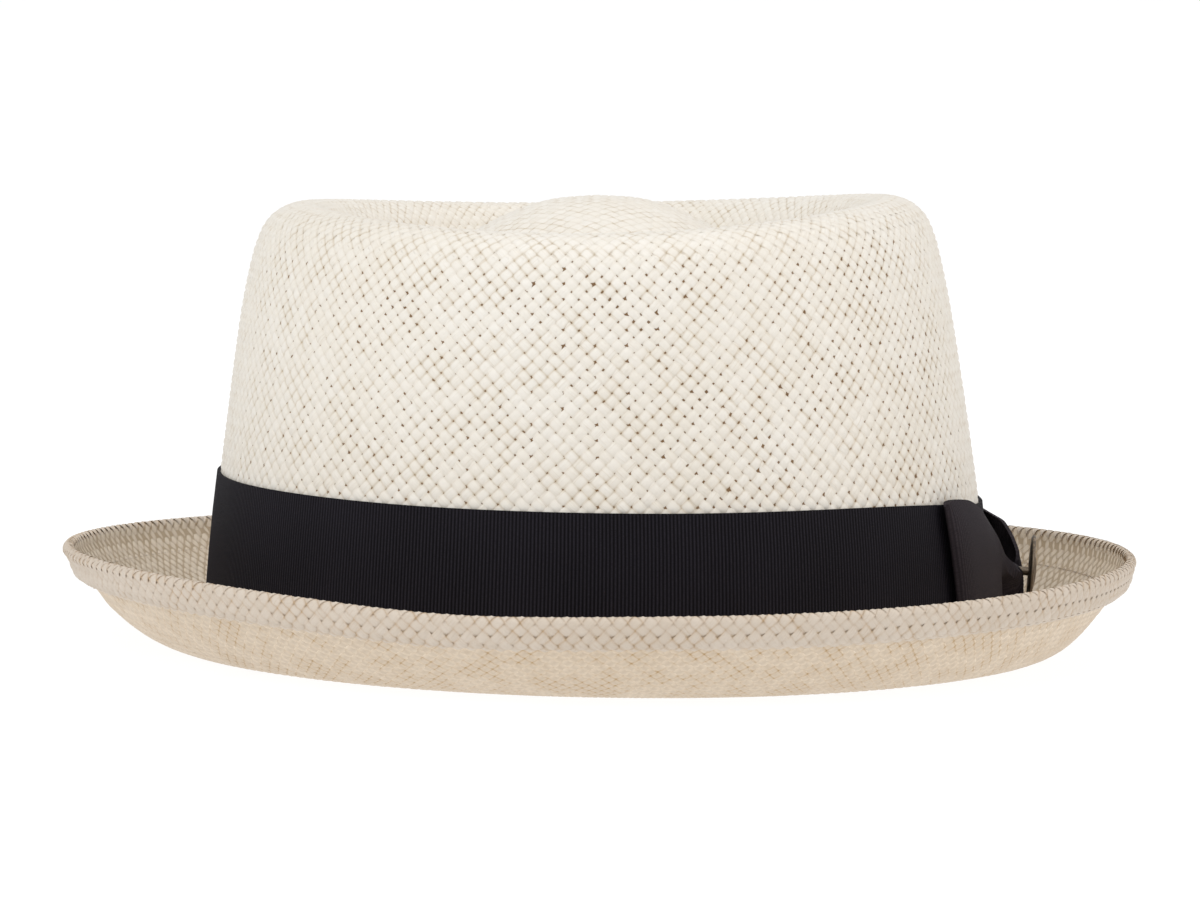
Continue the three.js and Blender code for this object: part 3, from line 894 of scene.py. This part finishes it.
# %% Ribbon material
def ribbon_finish(name, dark, light, rib_share):
    finish = Finish(name)
    along, across, _ = finish.notes("weave")
    thread_at = finish.add("ShaderNodeCombineXYZ", values={
        "X": along, "Y": across * 130.0})
    thread = finish.add("ShaderNodeTexNoise", values={
        "Vector": thread_at, "Scale": 1.0, "Detail": 2.0, "Roughness": 0.6})
    place = finish.add("ShaderNodeTexCoord", output=3)
    wear_and_shade_patches = finish.add("ShaderNodeTexNoise", values={
        "Vector": place, "Scale": 40.0, "Detail": 4.0})
    rib = (along * (2 * math.pi)).math("COSINE") * -0.5 + 0.5
    mask = (rib * (0.35 + thread) * rib_share + thread * (0.5 - rib_share * 0.5)
            + wear_and_shade_patches * 0.5 - 0.25).clip()
    bump = finish.add("ShaderNodeBump", values={
        "Height": thread, "Strength": 0.5, "Distance": 0.00015})
    return finish.look(Base_Color=mask.between(dark, light), Roughness=0.62 + wear_and_shade_patches * 0.2,
                       Normal=bump, Specular_IOR_Level=0.09)


band_cloth = ribbon_finish("ribbed ribbon", (0.0015, 0.001, 0.002), (0.020, 0.018, 0.025), 1.0)
# Painted light: the bow's cloth is a paler copy of the band's, for the light that its loops catch.
bow_cloth = ribbon_finish("bow ribbon", (0.009, 0.007, 0.009), (0.068, 0.056, 0.066), 0.25)
print("ribbon finishes:", band_cloth.name, "and", bow_cloth.name)

# %% [markdown]
# The band lies on the foot of the crown and follows its oval. Its upper edge waves a little,
# as cut ribbon does where the wall under it narrows, and dips where the bow pulls on it.

# %% The band
RIBBON_WIDTH = 36.9
RIBBON_THICKNESS = 1.0
RIBBON_LIFT = 2.9
RIBBON_FALL = 4.4
BAND_STAND = 0.42
EDGE_WAVE = 0.12


def wall_out(height):
    """Half-width of the straw's middle at a height on the wall."""
    wall = (LINE_S > S_SHOULDER) & (LINE_S < S_FOOT + 1)
    return np.interp(height, LINE[wall, 1][::-1], LINE[wall, 0][::-1])


def band_top(angle):
    return RIBBON_LIFT + RIBBON_WIDTH - RIBBON_FALL * ((1 + np.cos(angle)) / 2) ** 14


def band_place(u, v):
    angle = -u * 2 * np.pi
    foot = RIBBON_LIFT - 0.6
    height = foot + (band_top(angle) - foot) * v
    stand = half_wall + BAND_STAND + EDGE_WAVE * np.sin(angle * 9 + 1) * v ** 4
    return oval(wall_out(height) + stand, height, angle)


band_length = float(perimeter(S_RIBBON)) + 2 * np.pi * 1.2
band_ribs = round(band_length / RIB_PITCH)
ribbed("ribbon_cloth", "ribbon_band", band_place, band_ribs, 4, 0.7, True, band_cloth)
print("ribs round the band:", band_ribs)

# %% [markdown]
# ## The bow
#
# The bow is flat: each loop is the same ribbon folded back on itself and pinched into the
# knot. The section table gives, from the knot to the folded end, how tall the loop is and how
# far its two layers stand off the band. Pleats run out of the knot and die away. The front
# loop is squeezed by the knot, so its upper edge stands out in a nose with a tuck below it.

# %% The bow's loops
BOW_REACH = 55.3
BOW_HEIGHT = RIBBON_WIDTH * 0.98
REAR_LOOP_HEIGHT = RIBBON_WIDTH * 0.91
BOW_LIFT = 5.0
FOLD_SLANT = 6.6
PLEAT_DEPTH = 0.28
TUCKS = {-1: 3.2, 1: 0.5}
NOSES = {-1: 2.6, 1: 0.0}
ROLLED_TO = 1.7
BOW_ROWS = np.array([
    # reach, front top, rear top, foot, front lift, rear lift, inner lift
    (0.035, 0.39, 0.40, 0.07, 1.00, 1.00, 0.46), (0.110, 0.39, 0.41, 0.07, 1.00, 1.00, 0.46),
    (0.145, 0.48, 0.56, 0.06, 0.94, 1.56, 0.34), (0.220, 0.55, 0.66, 0.04, 0.80, 1.56, 0.24),
    (0.340, 0.66, 0.76, 0.03, 0.68, 1.40, 0.19), (0.410, 0.74, 0.81, 0.01, 0.63, 1.22, 0.16),
    (0.510, 0.85, 0.885, 0.00, 0.60, 1.00, 0.16), (0.605, 0.92, 0.935, 0.00, 0.60, 0.86, 0.16),
    (0.750, 0.98, 1.00, 0.00, 0.62, 0.80, 0.16), (0.880, 1.00, 1.00, 0.00, 0.66, 0.80, 0.16),
    (0.955, 1.00, 1.00, 0.00, 0.62, 0.72, 0.17), (0.988, 0.99, 0.99, 0.00, 0.52, 0.58, 0.24),
    (1.000, 0.97, 0.97, 0.00, 0.36, 0.36, 0.36),
])


def bow_place(along, height, off):
    """A point off the ribbon's outer face on the bow's side, lengths in millimetres."""
    angle = along / (CROWN_HALF_WIDTH + HEAD_OVAL)
    stand = half_wall + CLEARANCE + RIBBON_THICKNESS
    return oval(wall_out(height) + stand + off, height, angle)


def loop_place(way, tall, top_column, lift_column):
    out_rows = BOW_ROWS[:, [0, top_column, 3, lift_column]]
    back_rows = BOW_ROWS[::-1][1:, [0, top_column, 3, 6]]
    table = through(np.vstack([out_rows, back_rows]), 10)
    moved = np.diff(table[:, [0, 3]], axis=0) * [BOW_REACH, BOW_LIFT]
    lengths = np.r_[0, np.cumsum(np.linalg.norm(moved, axis=1))]
    lengths /= lengths[-1]

    def place(u, v):
        reach, top, foot, off = (np.interp(u, lengths, table[:, i]) for i in range(4))
        reach = np.minimum(reach, 1.0)
        outer = smooth((0.53 - u) / 0.06)
        near_knot = smooth((0.40 - reach) / 0.22) * smooth((reach - 0.09) / 0.08)
        pleat = np.cos(v * 2.5 * 2 * np.pi + 0.4) * PLEAT_DEPTH * near_knot * outer
        tuck = smooth((0.80 - v) / 0.10) * near_knot * outer * TUCKS[way]
        nose = NOSES[way] * np.exp(
            -((v - 0.90) / 0.13) ** 2 - ((reach - 0.16) / 0.07) ** 2) * outer
        rolled = np.maximum(smooth((v - 0.86) / 0.14), 0.6 * smooth((0.06 - v) / 0.06))
        roll_in = rolled * outer * smooth((reach - 0.35) / 0.2) * (BOW_LIFT * off - ROLLED_TO)
        height = RIBBON_LIFT + tall * (foot + (top - foot) * v)
        along = (BOW_REACH - FOLD_SLANT * (1 - v) * reach) * reach
        return bow_place(way * along, height,
                         BOW_LIFT * off + pleat + nose - tuck - np.maximum(roll_in, 0))

    return place, round(float(2 * BOW_REACH / RIB_PITCH))


for way, tall, columns, name in ((-1, BOW_HEIGHT, (1, 4), "front"),
                                 (1, REAR_LOOP_HEIGHT, (2, 5), "rear")):
    place, ribs = loop_place(way, tall, *columns)
    ribbed(f"bow_{name}_cloth", f"bow_{name}_loop", place, ribs, 10, 0.8, False, bow_cloth,
           BOW_RIB_HEIGHT)

# %% [markdown]
# The knot is a short piece of the same ribbon round the middle of the bow. It is a squared
# ring: a sine and a cosine raised to a small power turn a circle into a soft rectangle.

# %% The knot
KNOT_LENGTH = 12.0
KNOT_HEIGHT = 18.4
KNOT_DEPTH = 7.2
KNOT_WALL = 1.0
KNOT_BELLY = 0.05
KNOT_LEAN = 0.2
KNOT_SQUARENESS = 0.38
knot_middle = RIBBON_LIFT + KNOT_HEIGHT / 2 - KNOT_WALL / 2


def knot_place(u, v):
    half_deep = (KNOT_DEPTH - KNOT_WALL - CLEARANCE) / 2
    half_high = (KNOT_HEIGHT - KNOT_WALL) / 2
    turned = -u * 2 * np.pi
    across = np.sign(np.cos(turned)) * np.abs(np.cos(turned)) ** KNOT_SQUARENESS
    upward = np.sign(np.sin(turned)) * np.abs(np.sin(turned)) ** KNOT_SQUARENESS
    belly = KNOT_BELLY * (1 - (2 * v - 1) ** 2) + KNOT_LEAN * upward
    crease = 0.22 * np.cos(v * 2 * np.pi * 3) * np.maximum(across, 0)
    off = CLEARANCE + KNOT_WALL / 2 + half_deep * (1 + across + np.maximum(across, 0) * belly)
    return bow_place((v - 0.5) * KNOT_LENGTH, knot_middle + half_high * upward, off + crease)


ribbed("bow_knot_cloth", "bow_knot", knot_place, 52, 12, 0.8, True, bow_cloth)

# %% [markdown]
# ## The pin
#
# A thin disc of dark metal stands on the knot, seen nearly edge on from the front. It is
# turned: a profile spun round its axis, with a raised rim, a groove inside it and a low dome,
# so that it catches the light in rings. The metal is brown with age, and worn bright in
# blotches.

# %% The pin
PIN_RADIUS = 8.5
PIN_THICKNESS = 1.2
PIN_HEIGHT = 19.1
PIN_TILT = math.radians(3.6)
PIN_TURN = math.radians(2.6)
PIN_OUT = 0.8
POST_LENGTH = 4.2
PIN_ROWS = np.array([
    # share of the radius, height over the back in mm
    (0.118, -POST_LENGTH), (0.118, -0.1), (0.16, 0.0), (0.80, 0.0), (0.94, 0.12), (0.99, 0.35),
    (1.0, 0.55), (0.99, 0.75), (0.965, 0.95), (0.93, 1.02), (0.89, 0.92), (0.85, 0.82),
    (0.80, 0.84), (0.76, 0.96), (0.72, 1.04), (0.68, 1.02), (0.64, 1.06), (0.40, 1.34),
    (0.34, 1.50), (0.28, 1.60), (0.16, 1.68),
])


def pin_finish():
    finish = Finish("antique pin metal")
    place = finish.add("ShaderNodeTexCoord", output=3)
    stain = finish.add("ShaderNodeTexNoise", values={
        "Vector": place, "Scale": 520.0, "Detail": 5.0, "Roughness": 0.65})
    wear_and_shade_patches = stain.ramp(0.52, 0.72)
    grain = finish.add("ShaderNodeTexNoise", values={
        "Vector": place, "Scale": 2600.0, "Detail": 3.0})
    bump = finish.add("ShaderNodeBump", values={
        "Height": grain, "Strength": 0.3, "Distance": 0.0001})
    return finish.look(Base_Color=wear_and_shade_patches.between((0.16, 0.13, 0.10), (0.55, 0.43, 0.31)),
                       Metallic=1.0, Roughness=0.34 + stain * 0.25, Normal=bump)


def turned_piece(name, rows, sides, middle, tilt, turn, material):
    """A profile spun round an axis that points along +X, leaned by tilt and turned."""
    angle = np.linspace(0, 2 * np.pi, sides, endpoint=False)
    radius = rows[:, 0] * PIN_RADIUS
    ring = np.stack([
        np.broadcast_to(rows[:, 1][:, None], (len(rows), sides)),
        radius[:, None] * np.cos(angle), radius[:, None] * np.sin(angle)], -1)
    lean = np.array([[math.cos(tilt), 0, math.sin(tilt)], [0, 1, 0],
                     [-math.sin(tilt), 0, math.cos(tilt)]])
    swing = np.array([[math.cos(turn), math.sin(turn), 0],
                      [-math.sin(turn), math.cos(turn), 0], [0, 0, 1]])
    points = (ring @ lean.T @ swing.T) * 0.001 + middle
    index = np.arange(len(rows) * sides).reshape(len(rows), sides)
    nxt = np.roll(index, -1, axis=1)
    quads = np.stack([index[:-1], nxt[:-1], nxt[1:], index[1:]], -1).reshape(-1, 4)
    mesh = bpy.data.meshes.new(name)
    mesh.from_pydata(points.reshape(-1, 3).tolist(), [],
                     quads[:, ::-1].tolist() + [index[0].tolist(), index[-1][::-1].tolist()])
    mesh.polygons.foreach_set("use_smooth", np.ones(len(mesh.polygons), dtype=bool))
    mesh.set_sharp_from_angle(angle=math.radians(40))
    thing = put(name, mesh)
    mesh.materials.append(material)
    return thing


pin_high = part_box("pin_disc")[1]
pin_lean = PIN_RADIUS * math.hypot(math.sin(PIN_TILT), math.sin(PIN_TURN))
pin_back = pin_high.x - (PIN_THICKNESS + pin_lean - PIN_OUT) / 1000
pin = turned_piece("pin_face", PIN_ROWS, 72, np.array([pin_back, 0, PIN_HEIGHT / 1000]),
                   PIN_TILT, PIN_TURN, pin_finish())
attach(pin, "root")
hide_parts("pin_disc")
print("pin back at mm:", round(pin_back * 1000, 2))

# %% [markdown]
# ## The set
#
# The photograph has plain white all round and soft light from every side. A wide pale floor
# and a bright sky give that. The floor is grey under the hat, where it would light the brim's
# underside too much, and glows white farther out. Four large panels give the light
# some direction, so that the strands show their relief: one in front, one above, a cool one
# at the left and a warm one on the bow's side.

# %% Floor, sky and lights
scene = bpy.context.scene
scene.view_settings.view_transform = "Standard"
floor_mesh = bpy.data.meshes.new("floor")
FLOOR_HALF = 60.0
GREY_TO = 0.075
WHITE_FROM = 0.10
floor_mesh.from_pydata(
    [(-FLOOR_HALF, -FLOOR_HALF, 0), (FLOOR_HALF, -FLOOR_HALF, 0),
     (FLOOR_HALF, FLOOR_HALF, 0), (-FLOOR_HALF, FLOOR_HALF, 0)], [], [(0, 1, 2, 3)])
floor = put("floor", floor_mesh)
floor_finish = Finish("pale floor")
cloud = floor_finish.add("ShaderNodeTexNoise", values={"Scale": 2.0, "Detail": 2.0})
floor_at = floor_finish.add("ShaderNodeTexCoord", output=3)
from_hat = floor_finish.add("ShaderNodeVectorMath", {"operation": "LENGTH"}, {0: floor_at}, 1)
glow = from_hat.ramp(GREY_TO, WHITE_FROM)
floor_mesh.materials.append(floor_finish.look(
    Base_Color=cloud.between((0.17, 0.17, 0.17), (0.19, 0.19, 0.19)), Roughness=0.95,
    Specular_IOR_Level=0.0, Emission_Color=glow.between((0.0, 0.0, 0.0), (1.0, 1.0, 1.0)),
    Emission_Strength=0.9))

sky = bpy.data.worlds.new("soft sky")
scene.world = sky
sky.use_nodes = True
backdrop = sky.node_tree.nodes["Background"].inputs
backdrop["Color"].default_value = (1.0, 1.0, 1.0, 1.0)
backdrop["Strength"].default_value = 0.62
MIDDLE = Vector((0, 0, 0.05))


def panel(name, place, size, power, colour):
    """A soft rectangle of light that faces the middle of the hat."""
    lamp = bpy.data.lights.new(name, "AREA")
    lamp.shape = "RECTANGLE"
    lamp.size, lamp.size_y = size
    lamp.energy = power
    lamp.color = colour
    thing = put(name, lamp)
    thing.location = place
    thing.rotation_euler = (MIDDLE - Vector(place)).to_track_quat("-Z", "Y").to_euler()


panel("front panel", (-0.5, -1.5, 1.5), (1.2, 1.0), 12.3, (1.0, 0.985, 0.96))
panel("top panel", (0.2, 0.1, 1.8), (1.6, 1.6), 8.8, (1.0, 1.0, 1.0))
panel("left panel", (-1.6, -0.6, 0.8), (0.9, 0.9), 4.6, (0.96, 0.98, 1.0))
panel("bow side panel", (1.6, -0.3, 0.7), (0.9, 0.9), 5.5, (1.0, 0.93, 0.86))

# %% [markdown]
# ## The camera
#
# The photograph was taken from far off with a long lens, a little above the brim. Its place
# was found by matching the oval of the lip and of the ribbon's edge, and it is turned by a
# degree because the picture is.

# %% Camera
CAMERA_PLACE = Vector((0.0, -1.487, 0.1579))
CAMERA_PITCH = math.radians(4.33)
CAMERA_ROLL = math.radians(1.09)
camera_data = bpy.data.cameras.new("camera")
camera_data.sensor_width = 36.0
camera_data.lens = 194.0
camera = put("camera", camera_data)
camera.location = CAMERA_PLACE
camera.rotation_mode = "QUATERNION"
camera.rotation_quaternion = (Quaternion((1, 0, 0), math.pi / 2 - CAMERA_PITCH)
                              @ Quaternion((0, 0, 1), CAMERA_ROLL))
scene.camera = camera
print("lens in mm:", camera_data.lens)
